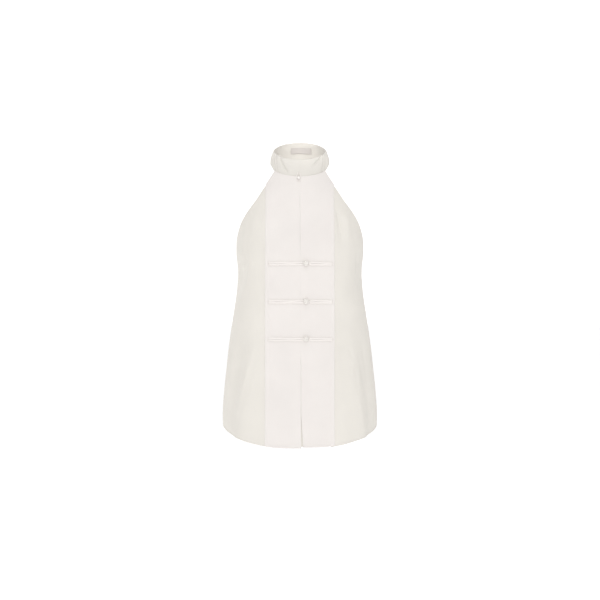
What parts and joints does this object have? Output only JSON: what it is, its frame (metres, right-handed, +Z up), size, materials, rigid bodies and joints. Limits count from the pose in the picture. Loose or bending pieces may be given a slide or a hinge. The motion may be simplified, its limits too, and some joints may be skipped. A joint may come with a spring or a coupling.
{
  "type": "halter neck top",
  "caption": "Sleeveless halter neck top with a standing collar, a banded front opening with cord loop fastenings and round buttons, a low back and a curved hem.",
  "frame": {"origin": "centre of the neck, at the height of the collar's seam beside the neck, where the top hangs from the wearer", "axes": "+Z up, -Y the way the wearer faces, +X the wearer's left"},
  "size_m": [0.3546, 0.2616, 0.6939],
  "materials": {
    "cloth": "soft matt woven cloth with a faint sheen",
    "cord": "turned cord of the same cloth",
    "label": "smooth woven tape, plain",
    "button": "polished"
  },
  "bodies": {
    "root": {"front_right": "cloth", "front_left": "cloth", "band_right": "cloth", "band_left": "cloth", "opening_guard": "cloth", "back": "cloth", "collar": "cloth", "collar_label": "label", "cord_loop_1": "cord", "cord_loop_2": "cord", "cord_loop_3": "cord", "cord_tail_1": "cord", "cord_tail_2": "cord", "cord_tail_3": "cord", "button_1": "button", "button_2": "button", "button_3": "button", "neck_loop": "cord", "neck_ball": "button"}
  },
  "joints": []
}
